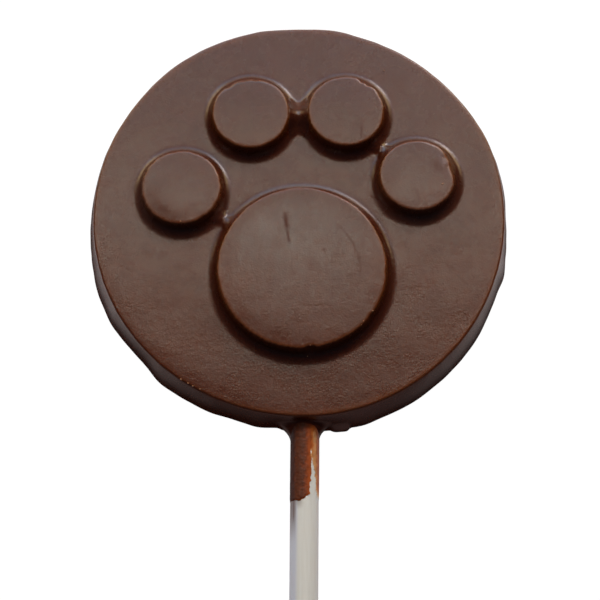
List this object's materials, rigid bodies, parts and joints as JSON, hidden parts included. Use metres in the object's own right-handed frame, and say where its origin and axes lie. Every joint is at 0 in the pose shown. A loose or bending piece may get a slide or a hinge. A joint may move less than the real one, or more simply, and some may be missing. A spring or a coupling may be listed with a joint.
{
  "type": "paw print lollipop",
  "caption": "Round moulded chocolate lollipop with a raised paw print on its face and a slim rolled paper stick, lying on its flat back.",
  "frame": {"origin": "the middle of the disc's flat back, which lies on the surface", "axes": "+Z out of the paw face, +Y from the stick's free end through the disc towards the toes, +X to the right seen from above"},
  "size_m": [0.0622, 0.1419, 0.0086],
  "materials": {
    "chocolate": "moulded milk chocolate with a soft satin sheen and a faint orange-peel texture",
    "paper": "matt off-white rolled paper, with a thin chocolate smear below the disc"
  },
  "bodies": {
    "root": {"chocolate": "chocolate", "stick": "paper"}
  },
  "joints": []
}
